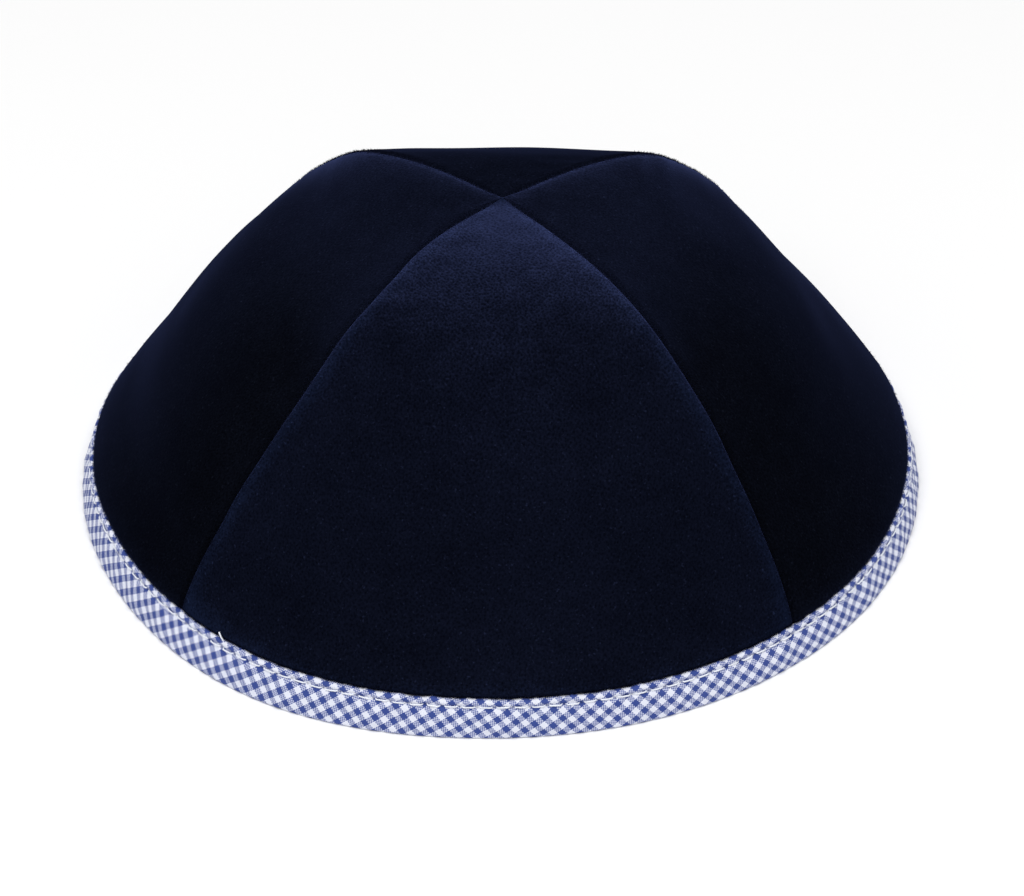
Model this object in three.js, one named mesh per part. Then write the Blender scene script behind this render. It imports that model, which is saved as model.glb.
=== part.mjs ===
// Four-panel velvet skullcap with a gingham binding folded over its rim.
// Millimetres, +Z up. The rim plane is Z = 0 and the rim's centre is the origin.
// The middles of the panels face -Y (front), +X (right), +Y (back) and -X (left).
import * as THREE from 'three';

// Driving dimensions
const rimDiameter = 160;         // across the binding's outside where it meets the rim plane
const crownHeight = 61.5;        // rim plane to the top of the velvet
const velvetThickness = 2;       // backing, pile and turned seam together
const tapeThickness = 1;         // one leg of the binding, with its edge turned under
const bindingHeight = 7.2;       // outside leg of the binding above the rim plane
const bindingHeightInside = 7.6; // inside leg of the binding above the rim plane
const foldRadius = 0.8;          // rounding of the fold at the binding's foot
const tapeEdgeRadius = 0.4;      // rounding of the tape's turned edges
const sewingClearance = 0.3;     // left between pieces that are sewn to each other
const swellHeight = 1.6;         // height over which the velvet swells out above the binding
const seamRoll = 2.2;            // width of velvet that rolls down into each seam
const seamDip = 0.7;             // depth that the velvet's face loses at each seam
const velvetColour = 0x0b1226;
const ginghamColour = 0x8f9ccf;

// Level sections of the crown from the rim to the top. Rise is a share of the crown's height,
// seam and middle are shares of the rim's radius: how far the seams and the panels' middles reach.
const sections = [
  { rise: 0.000, seam: 1.000, middle: 1.000 },
  { rise: 0.060, seam: 0.985, middle: 0.985 },
  { rise: 0.115, seam: 0.970, middle: 0.973 },
  { rise: 0.160, seam: 0.959, middle: 0.950 },
  { rise: 0.220, seam: 0.939, middle: 0.914 },
  { rise: 0.300, seam: 0.905, middle: 0.864 },
  { rise: 0.410, seam: 0.842, middle: 0.795 },
  { rise: 0.540, seam: 0.761, middle: 0.713 },
  { rise: 0.670, seam: 0.684, middle: 0.611 },
  { rise: 0.790, seam: 0.588, middle: 0.481 },
  { rise: 0.885, seam: 0.480, middle: 0.358 },
  { rise: 0.950, seam: 0.322, middle: 0.237 },
  { rise: 0.985, seam: 0.158, middle: 0.119 },
  { rise: 1.000, seam: 0.000, middle: 0.000 },
];

// The sewn pieces, in turn round the crown. Facing is the direction of a panel's middle.
const panels = [
  { name: 'panel_right', facing: 0 },
  { name: 'panel_back', facing: Math.PI / 2 },
  { name: 'panel_left', facing: Math.PI },
  { name: 'panel_front', facing: -Math.PI / 2 },
];

// Fineness of the facets
const facetsAcrossPanel = 12;
const facetsUpPanel = 17;
const facetsRoundBinding = 64;

const rimRadius = rimDiameter / 2;
const quarter = Math.PI / 2;
const seamAngle = quarter / 2;
const pressedDepth = tapeThickness + sewingClearance;
const cutEdgeHeight = tapeThickness + sewingClearance;

// One smooth curve through the sections: x is the seams' reach, y the middles' reach, z the height.
const formCurve = new THREE.CatmullRomCurve3(
  sections.map(({ rise, seam, middle }) => (
    new THREE.Vector3(seam * rimRadius, middle * rimRadius, rise * crownHeight)
  )),
  false,
  'centripetal',
);

// Reach of a level section at an angle from a panel's middle. It is a straight line across the
// panel where seam / middle is the square root of 2, and a circle where they are equal.
function reachAt(section, angle) {
  const spread = (1 / Math.cos(angle) - 1) / (Math.SQRT2 - 1);
  return section.y + (section.x - section.y) * spread;
}

// Place along the form curve, from 0 at the rim to 1 at the top, where it has a given height.
function placeAtHeight(height) {
  let low = 0;
  let high = 1;
  for (let halving = 0; halving < 40; halving += 1) {
    const place = (low + high) / 2;
    if (formCurve.getPoint(place).z < height) low = place;
    else high = place;
  }
  return (low + high) / 2;
}

// The crown's form at a place along the curve and an angle from the panel's middle: its reach, its
// height, and the outward direction in the same upright plane. Mitre lengthens an inset so that the
// wall keeps its thickness where the section runs slantwise to that plane.
function formAt(place, angle) {
  const step = 0.002;
  const before = formCurve.getPoint(Math.max(place - step, 0));
  const after = formCurve.getPoint(Math.min(place + step, 1));
  const section = formCurve.getPoint(place);
  const reach = reachAt(section, angle);
  const run = reachAt(after, angle) - reachAt(before, angle);
  const climb = after.z - before.z;
  const length = Math.hypot(run, climb);
  const turn = (reachAt(section, angle + step) - reachAt(section, angle - step)) / (2 * step);
  return {
    reach,
    height: section.z,
    outward: climb / length,
    upward: -run / length,
    mitre: Math.hypot(1, (turn * climb) / (reach * length)),
  };
}

// Moves a point of the form inwards at its own height.
function insetLevel(form, depth) {
  return { ...form, reach: form.reach - (depth * form.mitre) / form.outward };
}

// Moves a point of the form straight in through the wall, in its own upright plane.
function insetThroughWall(form, depth) {
  const inset = depth * form.mitre;
  return {
    reach: form.reach - inset * form.outward,
    height: form.height - inset * form.upward,
  };
}

// How much of the pressing under the tape is left at a height: all of it up to the tape's edge,
// none from the top of the swell.
function pressingAt(height) {
  return 1 - THREE.MathUtils.smoothstep(height, bindingHeight, bindingHeight + swellHeight);
}

function pushPoint(positions, reach, angle, height) {
  positions.push(reach * Math.cos(angle), reach * Math.sin(angle), height);
}

function pushQuad(indices, a, b, c, d) {
  indices.push(a, b, c);
  indices.push(a, c, d);
}

// Places of a panel's rows along the form curve, from its cut edge to the last row below the tip.
function panelRows() {
  const hemHeights = [
    cutEdgeHeight,
    (cutEdgeHeight + bindingHeight) / 2,
    bindingHeight,
    bindingHeight + swellHeight / 2,
    bindingHeight + swellHeight,
  ];
  const hem = hemHeights.map(placeAtHeight);
  const start = hem[hem.length - 1];
  const rows = [...hem];
  for (let row = 1; row < facetsUpPanel; row += 1) {
    rows.push(start + ((1 - start) * row) / facetsUpPanel);
  }
  return rows;
}

// Angles of a panel's columns in one row: the two cut edges, each half the clearance short of its
// seam plane, the two lines where the velvet starts to roll into the seam, and even steps between.
function panelColumns(seamReach) {
  const edge = seamAngle - Math.asin(sewingClearance / 2 / seamReach);
  const roll = Math.min(seamRoll / seamReach, edge / 3);
  const columns = [-edge];
  for (let column = 0; column <= facetsAcrossPanel; column += 1) {
    columns.push((edge - roll) * ((2 * column) / facetsAcrossPanel - 1));
  }
  columns.push(edge);
  return columns;
}

// One velvet panel, facing +X: an outside face that follows the form, pressed in under the tape and
// rolled down at the seams, and an inside face one wall thickness further in. Both end in the tip.
function panelGeometry() {
  const positions = [];
  const indices = [];
  const rows = panelRows();
  const columnCount = facetsAcrossPanel + 3;
  for (const place of rows) {
    const columns = panelColumns(formCurve.getPoint(place).x);
    const inside = [];
    columns.forEach((angle, column) => {
      const form = formAt(place, angle);
      const face = insetLevel(form, pressedDepth * pressingAt(form.height));
      const atEdge = column === 0 || column === columnCount - 1;
      const dip = atEdge ? Math.min(seamDip, velvetThickness / 2, form.reach / 6) : 0;
      const outer = insetThroughWall(face, dip);
      const inner = insetThroughWall(face, velvetThickness);
      pushPoint(positions, outer.reach, angle, Math.max(outer.height, cutEdgeHeight));
      inside.push([inner.reach, angle, Math.max(inner.height, cutEdgeHeight)]);
    });
    inside.forEach((point) => pushPoint(positions, ...point));
  }
  const tipReach = sewingClearance / Math.SQRT2;
  const outerTip = positions.length / 3;
  pushPoint(positions, tipReach, 0, crownHeight);
  const innerTip = outerTip + 1;
  pushPoint(positions, tipReach, 0, crownHeight - velvetThickness);

  const outerIndex = (row, column) => row * 2 * columnCount + column;
  const innerIndex = (row, column) => outerIndex(row, column) + columnCount;
  const lastRow = rows.length - 1;
  const lastColumn = columnCount - 1;
  for (let column = 0; column < lastColumn; column += 1) {
    const next = column + 1;
    for (let row = 0; row < lastRow; row += 1) {
      const up = row + 1;
      pushQuad(indices, outerIndex(row, column), outerIndex(row, next),
        outerIndex(up, next), outerIndex(up, column));
      pushQuad(indices, innerIndex(row, column), innerIndex(up, column),
        innerIndex(up, next), innerIndex(row, next));
    }
    pushQuad(indices, outerIndex(0, column), innerIndex(0, column),
      innerIndex(0, next), outerIndex(0, next));
    indices.push(outerIndex(lastRow, column), outerIndex(lastRow, next), outerTip);
    indices.push(innerIndex(lastRow, next), innerIndex(lastRow, column), innerTip);
  }
  for (let row = 0; row < lastRow; row += 1) {
    const up = row + 1;
    pushQuad(indices, outerIndex(row, 0), outerIndex(up, 0), innerIndex(up, 0), innerIndex(row, 0));
    pushQuad(indices, outerIndex(row, lastColumn), innerIndex(row, lastColumn),
      innerIndex(up, lastColumn), outerIndex(up, lastColumn));
  }
  pushQuad(indices, outerIndex(lastRow, 0), outerTip, innerTip, innerIndex(lastRow, 0));
  pushQuad(indices, outerIndex(lastRow, lastColumn), innerIndex(lastRow, lastColumn),
    innerTip, outerTip);
  return closedGeometry(positions, indices);
}

// Outline of the binding's section, from the foot up the outside leg, down into the channel that
// holds the velvet, up its far side and down the inside leg. Inset is measured from the form.
function bindingSection() {
  const channelInset = tapeThickness;
  const channelFar = channelInset + 2 * sewingClearance + velvetThickness;
  const insideFace = channelFar + tapeThickness;
  const foldCorner = foldRadius * (1 - Math.SQRT1_2);
  return [
    { inset: foldRadius, height: 0 },
    { inset: foldCorner, height: foldCorner },
    { inset: 0, height: foldRadius },
    { inset: 0, height: bindingHeight / 2 },
    { inset: 0, height: bindingHeight - tapeEdgeRadius },
    { inset: tapeEdgeRadius, height: bindingHeight },
    { inset: channelInset, height: bindingHeight },
    { inset: channelInset, height: tapeThickness },
    { inset: channelFar, height: tapeThickness },
    { inset: channelFar, height: bindingHeightInside },
    { inset: insideFace - tapeEdgeRadius, height: bindingHeightInside },
    { inset: insideFace, height: bindingHeightInside - tapeEdgeRadius },
    { inset: insideFace, height: foldRadius },
    { inset: insideFace - foldCorner, height: foldCorner },
    { inset: insideFace - foldRadius, height: 0 },
  ];
}

// The gingham tape: its section carried once round the rim, closed on itself.
function bindingGeometry() {
  const positions = [];
  const indices = [];
  const section = bindingSection();
  for (let station = 0; station < facetsRoundBinding; station += 1) {
    const azimuth = (2 * Math.PI * station) / facetsRoundBinding;
    const angle = azimuth - quarter * Math.round(azimuth / quarter);
    for (const { inset, height } of section) {
      const point = insetLevel(formAt(placeAtHeight(height), angle), inset);
      pushPoint(positions, point.reach, azimuth, height);
    }
  }
  const around = section.length;
  for (let station = 0; station < facetsRoundBinding; station += 1) {
    const here = station * around;
    const next = ((station + 1) % facetsRoundBinding) * around;
    for (let point = 0; point < around; point += 1) {
      const following = (point + 1) % around;
      pushQuad(indices, here + point, next + point, next + following, here + following);
    }
  }
  return closedGeometry(positions, indices);
}

function closedGeometry(positions, indices) {
  const geometry = new THREE.BufferGeometry();
  geometry.setAttribute('position', new THREE.Float32BufferAttribute(positions, 3));
  geometry.setIndex(indices);
  geometry.computeVertexNormals();
  return geometry;
}

function clothMaterial(color, roughness) {
  return new THREE.MeshStandardMaterial({ color, roughness, metalness: 0 });
}

// The skullcap
const skullcap = new THREE.Group();
for (const { name, facing } of panels) {
  const panel = new THREE.Mesh(panelGeometry(), clothMaterial(velvetColour, 0.95));
  panel.name = name;
  panel.rotation.z = facing;
  skullcap.add(panel);
}
const binding = new THREE.Mesh(bindingGeometry(), clothMaterial(ginghamColour, 0.8));
binding.name = 'binding';
skullcap.add(binding);

export default skullcap;
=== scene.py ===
"""Four-panel velvet skullcap with a gingham binding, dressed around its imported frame.

Metres, +Z up. The rim plane is Z = 0 with its centre at the origin, and the front panel faces -Y.
"""

import math

import bmesh
import bpy
import numpy as np
from mathutils import Matrix, Vector


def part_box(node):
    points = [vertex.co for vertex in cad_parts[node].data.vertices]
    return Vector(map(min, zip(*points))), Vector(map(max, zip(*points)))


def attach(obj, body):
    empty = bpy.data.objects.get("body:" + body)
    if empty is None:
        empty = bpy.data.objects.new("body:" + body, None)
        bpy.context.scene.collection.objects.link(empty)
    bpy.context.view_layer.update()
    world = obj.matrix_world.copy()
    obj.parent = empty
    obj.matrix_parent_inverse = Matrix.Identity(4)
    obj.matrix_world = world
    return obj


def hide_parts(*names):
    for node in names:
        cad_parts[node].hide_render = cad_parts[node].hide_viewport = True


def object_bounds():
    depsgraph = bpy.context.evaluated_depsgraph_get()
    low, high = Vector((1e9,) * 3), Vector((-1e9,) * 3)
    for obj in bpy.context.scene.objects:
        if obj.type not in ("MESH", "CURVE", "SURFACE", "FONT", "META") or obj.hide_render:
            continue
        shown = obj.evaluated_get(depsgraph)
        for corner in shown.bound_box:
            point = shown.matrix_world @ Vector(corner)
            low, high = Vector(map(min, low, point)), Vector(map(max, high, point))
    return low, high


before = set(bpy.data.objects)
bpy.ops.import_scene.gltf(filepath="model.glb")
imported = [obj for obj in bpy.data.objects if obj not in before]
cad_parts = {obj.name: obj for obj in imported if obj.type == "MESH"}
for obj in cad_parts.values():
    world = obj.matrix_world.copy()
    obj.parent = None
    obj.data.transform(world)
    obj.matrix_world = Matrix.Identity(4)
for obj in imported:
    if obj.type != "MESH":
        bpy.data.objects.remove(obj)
cad_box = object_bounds()

MM = 0.001

# Sizes of the cap, in metres
CROWN_HEIGHT = cad_box[1].z
RIM_RADIUS = 80.0 * MM
VELVET_WALL = 2.0 * MM
TAPE_WALL = 0.8 * MM
TAPE_HEIGHT = 7.2 * MM
TAPE_HEIGHT_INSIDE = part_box("binding")[1].z
SEWING_GAP = 0.2 * MM
SWELL_HEIGHT = 0.8 * MM
SEAM_ROLL = 1.6 * MM
SEAM_DEPTH = 0.65 * MM
SEAM_CLEARANCE = 0.05 * MM
STITCH_LINE = 5.95 * MM
STITCH_COUNT = 158
THREAD_RADIUS = 0.155 * MM

# How deep the tape's inside leg begins and ends under its outside
INSIDE_LEG = TAPE_WALL + 2 * SEWING_GAP + VELVET_WALL
INSIDE_FACE = INSIDE_LEG + TAPE_WALL

# How the soft crown leans to the right, how far its tip lies further right and back, and the height
# over which the rim's strays fade to about a third
CROWN_LEAN = 0.5 * MM
TIP_SHIFT = (0.5 * MM, 0.9 * MM)
STRAY_FADE = 22 * MM

# Level sections of the crown from the rim to the top: rise is a share of the crown's height, seam
# and middle are shares of the rim's radius, how far the seams and the panels' middles reach.
SECTIONS = np.array(
    [
        (0.000, 1.000, 1.000),
        (0.060, 0.985, 0.985),
        (0.115, 0.970, 0.973),
        (0.160, 0.959, 0.950),
        (0.220, 0.939, 0.914),
        (0.300, 0.905, 0.864),
        (0.410, 0.842, 0.795),
        (0.540, 0.761, 0.713),
        (0.670, 0.684, 0.611),
        (0.790, 0.588, 0.481),
        (0.885, 0.480, 0.358),
        (0.950, 0.322, 0.237),
        (0.985, 0.158, 0.119),
        (1.000, 0.000, 0.000),
    ],
    dtype=[("rise", float), ("seam", float), ("middle", float)],
)

# How the soft rim is out of true, in millimetres: outwards is how far it strays from its circle,
# lift how much higher the tape's upper edge stands. Twelve even steps of direction round from +X.
RIM_SHAPE = np.array(
    [
        (-0.2, 0.0),
        (-1.1, 0.0),
        (0.0, 0.0),
        (0.0, 0.0),
        (0.0, 0.0),
        (-1.3, 0.0),
        (-0.1, 0.2),
        (0.1, 0.7),
        (1.1, 0.3),
        (-0.65, 0.0),
        (-0.35, -0.3),
        (0.3, -0.5),
    ],
    dtype=[("outwards", float), ("lift", float)],
)

# Direction that each panel's middle faces, in radians from +X
PANEL_FACING = {
    "right": 0.0,
    "back": math.pi / 2,
    "left": math.pi,
    "front": -math.pi / 2,
}


def linear(hex_colour):
    """Turn an sRGB hex colour into Blender's linear colour."""
    channels = [int(hex_colour[i : i + 2], 16) / 255 for i in (1, 3, 5)]
    light = [c / 12.92 if c <= 0.04045 else ((c + 0.055) / 1.055) ** 2.4 for c in channels]
    return (*light, 1.0)


def plug(tree, made, inputs):
    """Fill sockets of a node. Inputs maps a socket to a value, to an output, or to a node, which
    stands for its first output."""
    for socket, value in inputs.items():
        if isinstance(value, bpy.types.Node):
            value = value.outputs[0]
        if isinstance(value, bpy.types.NodeSocket):
            tree.links.new(value, made.inputs[socket])
        else:
            made.inputs[socket].default_value = value


def node(tree, kind, inputs=None, **settings):
    """Add a shader node with its inputs and its own settings."""
    made = tree.nodes.new(kind)
    for name, value in settings.items():
        setattr(made, name, value)
    plug(tree, made, inputs or {})
    return made


def maths(tree, operation, *values):
    """Work on numbers, in the order in which they are given."""
    return node(tree, "ShaderNodeMath", dict(enumerate(values)), operation=operation)


def mix(tree, factor, a, b):
    """A number between a and b, at b where the factor is 1."""
    return node(tree, "ShaderNodeMix", {"Factor": factor, "A": a, "B": b})


def remap(tree, value, low, high, least, most):
    """Turn the range from low to high into the one from least to most, and hold it there."""
    limits = {"From Min": low, "From Max": high, "To Min": least, "To Max": most}
    return node(tree, "ShaderNodeMapRange", {"Value": value, **limits})


def noise(tree, place, size, detail):
    """Cloudy noise with patches of about the size given."""
    return node(tree, "ShaderNodeTexNoise", {"Vector": place, "Scale": 1 / size, "Detail": detail})


def smoothstep(value, low, high):
    """0 below low, 1 above high, and an S-curve between them."""
    share = np.clip((value - low) / (high - low), 0, 1)
    return share * share * (3 - 2 * share)


def unit(vectors):
    """Vectors of length 1 with the same directions."""
    return vectors / np.maximum(np.linalg.norm(vectors, axis=-1, keepdims=True), 1e-12)


def ripple(u, v, wavelength, seed):
    """Gentle unevenness of cloth between about -1 and 1: a sum of sine waves that run in random
    directions across u and v, with wavelengths from 0.7 to 1.6 times the one given."""
    waves = 7
    draw = np.random.default_rng(seed)
    total = np.zeros(np.broadcast(u, v).shape)
    for _ in range(waves):
        heading = draw.uniform(0, 2 * math.pi)
        number = 2 * math.pi / (wavelength * draw.uniform(0.7, 1.6))
        phase = draw.uniform(0, 2 * math.pi)
        total += np.sin(number * (u * math.cos(heading) + v * math.sin(heading)) + phase)
    return total / math.sqrt(waves * 2.0)


# The crown's form


def form_curve():
    """The sections joined by one smooth curve, as a fine table of seam reach, middle reach and
    height. Between two rows it is the Catmull-Rom curve through them and their neighbours, with
    knots spaced by the square root of the distance between rows."""
    rows = np.stack(
        [
            SECTIONS["seam"] * RIM_RADIUS,
            SECTIONS["middle"] * RIM_RADIUS,
            SECTIONS["rise"] * CROWN_HEIGHT,
        ],
        axis=1,
    )
    rows = np.vstack([2 * rows[0] - rows[1], rows, 2 * rows[-1] - rows[-2]])
    steps_between_rows = 60
    t = np.linspace(0, 1, steps_between_rows, endpoint=False)[:, None]
    pieces = []
    for p0, p1, p2, p3 in zip(rows[:-3], rows[1:-2], rows[2:-1], rows[3:]):
        k0, k1, k2 = (math.sqrt(np.linalg.norm(b - a)) for a, b in ((p0, p1), (p1, p2), (p2, p3)))
        start = ((p1 - p0) / k0 - (p2 - p0) / (k0 + k1) + (p2 - p1) / k1) * k1
        end = ((p2 - p1) / k1 - (p3 - p1) / (k1 + k2) + (p3 - p2) / k2) * k1
        cubic = 2 * p1 - 2 * p2 + start + end
        square = -3 * p1 + 3 * p2 - 2 * start - end
        pieces.append(p1 + start * t + square * t**2 + cubic * t**3)
    return np.vstack([*pieces, rows[-2][None]])


# The form's table, with the names of its columns, and the length up the seam line to each row
SEAM, MIDDLE, HEIGHT = 0, 1, 2
FORM = form_curve()
FORM_STEPS = np.linalg.norm(np.diff(FORM[:, [SEAM, HEIGHT]], axis=0), axis=1)
FORM_LENGTH = np.concatenate([[0], np.cumsum(FORM_STEPS)])
SEAM_LENGTH = FORM_LENGTH[-1]


def along_form(length, column):
    """A column of the form's table at a length up the seam line from the rim."""
    return np.interp(length, FORM_LENGTH, FORM[:, column])


def rise_at(length):
    """Share of the crown's height that a length up the seam line reaches."""
    return along_form(length, HEIGHT) / CROWN_HEIGHT


def form_at(length, angle):
    """The crown's form at a length up the seam line from the rim and an angle from the panel's
    middle. The reach of a level section runs from the middle's to the seam's with the secant of
    the angle, which makes a straight line or an arc. Also gives the outward and upward parts of the
    wall's direction in the same upright plane, and the mitre that keeps its thickness."""
    step = 0.2 * MM
    turn = 0.002
    least_reach = 0.5 * MM

    def reach_at(length, angle):
        share = (1 / np.cos(angle) - 1) / (math.sqrt(2) - 1)
        middle = along_form(length, MIDDLE)
        return middle + (along_form(length, SEAM) - middle) * share

    low = np.maximum(length - step, 0)
    high = np.minimum(length + step, SEAM_LENGTH)
    run = reach_at(high, angle) - reach_at(low, angle)
    climb = along_form(high, HEIGHT) - along_form(low, HEIGHT)
    slope = np.hypot(run, climb)
    outward, upward = climb / slope, -run / slope
    reach = reach_at(length, angle)
    widening = (reach_at(length, angle + turn) - reach_at(length, angle - turn)) / (2 * turn)
    mitre = np.hypot(1, widening * outward / np.maximum(reach, least_reach))
    return reach, along_form(length, HEIGHT), outward, upward, mitre


def length_at_height(height):
    """Length up the seam line at which the form has a given height."""
    return np.interp(height, FORM[:, HEIGHT], FORM_LENGTH)


def rim_shape(azimuth, column):
    """A column of the rim's table in any direction, in metres, by a smooth closed curve through its
    rows."""
    step = azimuth * len(RIM_SHAPE) / (2 * math.pi)
    first = np.floor(step).astype(int)
    t = step - first
    p0, p1, p2, p3 = (np.take(RIM_SHAPE[column], first + k, mode="wrap") * MM for k in (-1, 0, 1, 2))
    bend = t * (2 * p0 - 5 * p1 + 4 * p2 - p3 + t * (3 * (p1 - p2) + p3 - p0))
    return p1 + 0.5 * t * (p2 - p0 + bend)


def place_points(reach, azimuth, height):
    """Points from their distance to the axis, their direction round it and their height. The soft
    cap is a little out of true: its rim strays from a circle, less higher up, its tape stands higher
    in some places, the crown leans to the right, more the higher it is, and its tip lies a little to
    the right and towards the back."""
    stray = rim_shape(azimuth, "outwards") * np.exp(-height / STRAY_FADE)
    reach = reach + stray * smoothstep(reach, 0.25 * RIM_RADIUS, 0.75 * RIM_RADIUS)
    share = height / (TAPE_HEIGHT + SWELL_HEIGHT)
    near_tip = smoothstep(height / CROWN_HEIGHT, 0.88, 1.0)
    x = reach * np.cos(azimuth) + CROWN_LEAN * height / CROWN_HEIGHT + TIP_SHIFT[0] * near_tip
    y = reach * np.sin(azimuth) + TIP_SHIFT[1] * near_tip
    z = height + rim_shape(azimuth, "lift") * share * np.exp(1 - share)
    return np.stack(np.broadcast_arrays(x, y, z), axis=-1)


# Meshes from arrays


def make_piece(name, points, faces, materials, slots=None, uv=None, values=None):
    """A mesh object from arrays of points and faces, with a material for each face, a UV pair for
    each point, and named numbers or vectors for each point."""
    mesh = bpy.data.meshes.new(name)
    corners = [face for part in faces for face in part.tolist()]
    mesh.from_pydata(points.reshape(-1, 3).tolist(), [], corners)
    for material in materials:
        mesh.materials.append(material)
    if slots is not None:
        mesh.polygons.foreach_set("material_index", slots.astype(np.int32))
    mesh.polygons.foreach_set("use_smooth", np.full(len(mesh.polygons), True))
    if uv is not None:
        corner = np.empty(len(mesh.loops), dtype=np.int32)
        mesh.loops.foreach_get("vertex_index", corner)
        layer = mesh.uv_layers.new(name="cloth")
        layer.data.foreach_set("uv", uv.reshape(-1, 2)[corner].ravel())
    for label, value in (values or {}).items():
        kind, field = ("FLOAT", "value") if value.ndim == 1 else ("FLOAT_VECTOR", "vector")
        attribute = mesh.attributes.new(label, kind, "POINT")
        attribute.data.foreach_set(field, value.astype(np.float32).ravel())
    mesh.update()
    made = bpy.data.objects.new(name, mesh)
    bpy.context.scene.collection.objects.link(made)
    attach(made, "root")
    return made


def grid_quads(rows, columns):
    """Four corners of each cell of a grid whose points are numbered row by row."""
    row = np.arange(rows - 1)[:, None]
    column = np.arange(columns - 1)[None, :]
    here, up = row * columns + column, (row + 1) * columns + column
    return np.stack([here, here + 1, up + 1, up], axis=-1).reshape(-1, 4)


# Velvet panels

PANEL_COLUMNS = 150
PANEL_ROWS = 170
HEM_ROWS = 24

# How far the soft cloth stands out past its form or falls short of it
PUCKER_DEPTH = 0.13 * MM
PUCKER_LENGTH = 5.5 * MM
BILLOW_DEPTH = 0.12 * MM
BILLOW_LENGTH = 26 * MM
LEFT_SHOULDER = 1.0 * MM
BACK_SLACK = 0.5 * MM
CREST_HEIGHT = 0.6 * MM
CREST_HEIGHT_AT_TOP = 0.2 * MM
CREST_WIDTH = 10 * MM

# How far the brushed pile and its painted light reach from the seams and from the side panels'
# back seams, and how far the painted highlight reaches up from the tape
SEAM_BRUSHING = 3.2 * MM
BACK_SEAM_BRUSHING = 3.5 * MM
HEM_HIGHLIGHT_REACH = 1.8 * MM


def seam_strays(length):
    """How far the front left seam and the front right seam stray round the crown from their even
    places, worked out in degrees and given in radians. The left one bows towards the front in the
    upper half and lies a little away from it at the hem and at the tip. The right one lies a little
    away from it at half height and near the top."""
    rise = rise_at(length)
    bow = smoothstep(rise, 0.42, 0.82) * (1 - smoothstep(rise, 0.90, 1.0))
    at_hem = 1 - smoothstep(rise, 0.10, 0.42)
    at_tip = smoothstep(rise, 0.94, 1.0)
    half_height = smoothstep(rise, 0.30, 0.50) * (1 - smoothstep(rise, 0.60, 0.80))
    near_top = smoothstep(rise, 0.86, 0.95)
    left = 3.6 * bow - 1.1 * at_hem - 4.5 * at_tip
    right = 0.55 * half_height + 0.8 * near_top
    return np.radians(left), np.radians(right)


def panel_angles(side, a, length):
    """Angle from the panel's middle that a share a of the way to a seam has, with half the seam's
    clearance kept free, and the direction round the crown that it comes to lie in."""
    seam_reach = along_form(length, SEAM)
    edge = math.pi / 4 - np.arcsin(np.minimum(SEAM_CLEARANCE / seam_reach, 0.5))
    left_share = {"front": (1 - a) / 2, "left": (1 + a) / 2}.get(side, 0 * a)
    right_share = {"front": (1 + a) / 2, "right": (1 - a) / 2}.get(side, 0 * a)
    left_stray, right_stray = seam_strays(length)
    azimuth = PANEL_FACING[side] + a * edge + left_share * left_stray + right_share * right_stray
    return a * edge, edge, azimuth


def pile_lean_and_painted_shading(side, a, length):
    """Which way the pile leans, as a share towards the top of the crown and a share towards the
    back, and a painted light and shade that lightens or darkens the dye face on. It leans uphill most
    on the front panel, and more still along its seams, where painted light makes it lighter, as it
    does along the tape. It stands more upright on the side panels, which makes them darker beside
    their front seams, where painted shade darkens them too, and is brushed backwards near the top
    and along their back seams, where painted light lightens them a little. It leans least near the
    top of the back panel, which is nearly black there; lower down its painted light is stronger,
    most beside its seams."""
    seam_reach = along_form(length, SEAM)
    rise = rise_at(length)
    towards_front = {"right": (1 - a) / 2, "left": (1 + a) / 2}.get(side, 0 * a)
    in_shade = smoothstep(towards_front, 0.15, 0.85) * (1 - smoothstep(rise, 0.72, 0.97))
    beside_seam = np.exp(-(1 - np.abs(a)) * math.pi / 4 * seam_reach / SEAM_BRUSHING)
    # Nearness to the tape, for the painted highlight above it
    at_hem = np.exp(-np.maximum(rise * CROWN_HEIGHT - TAPE_HEIGHT, 0) / HEM_HIGHLIGHT_REACH)
    at_top = smoothstep(rise, 0.60, 0.97)
    if side == "front":
        # Front panel: painted sheen along the seams and a painted highlight above the tape, more on the
        # left
        painted_hem_highlight = (0.3 + 0.15 * smoothstep(-a, 0.2, 0.9)) * at_hem**0.5
        tone = 0.82 + 0.5 * beside_seam + painted_hem_highlight
        return 1 + (0.42 + 0.16 * a) * beside_seam, 0 * at_top, tone
    if side == "back":
        low = 1 - smoothstep(rise, 0.45, 0.72)
        # Back panel: painted shade near the top, and painted light lower down, most beside the seams
        return 0.22 + 0.33 * low, 0 * at_top, 0.62 + (0.15 + 0.35 * beside_seam) * low
    from_back = towards_front * math.pi / 2 * seam_reach
    back_seam = np.exp(-from_back / BACK_SEAM_BRUSHING) * smoothstep(rise, 0.3, 0.8)
    away = (1 - smoothstep(towards_front, 0.05, 0.55)) * smoothstep(rise, 0.12, 0.30)
    uphill = 0.40 - 0.25 * in_shade - 0.25 * at_top
    backwards = (0.45 * back_seam + 0.12 * away + 0.12 * at_top) * (1 - in_shade)
    # Side panels: painted shade beside the front seams, painted light along the back seams and above the
    # tape
    tone = 0.75 - 0.75 * in_shade + 0.3 * back_seam + 0.7 * at_hem
    return uphill, backwards, tone


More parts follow.
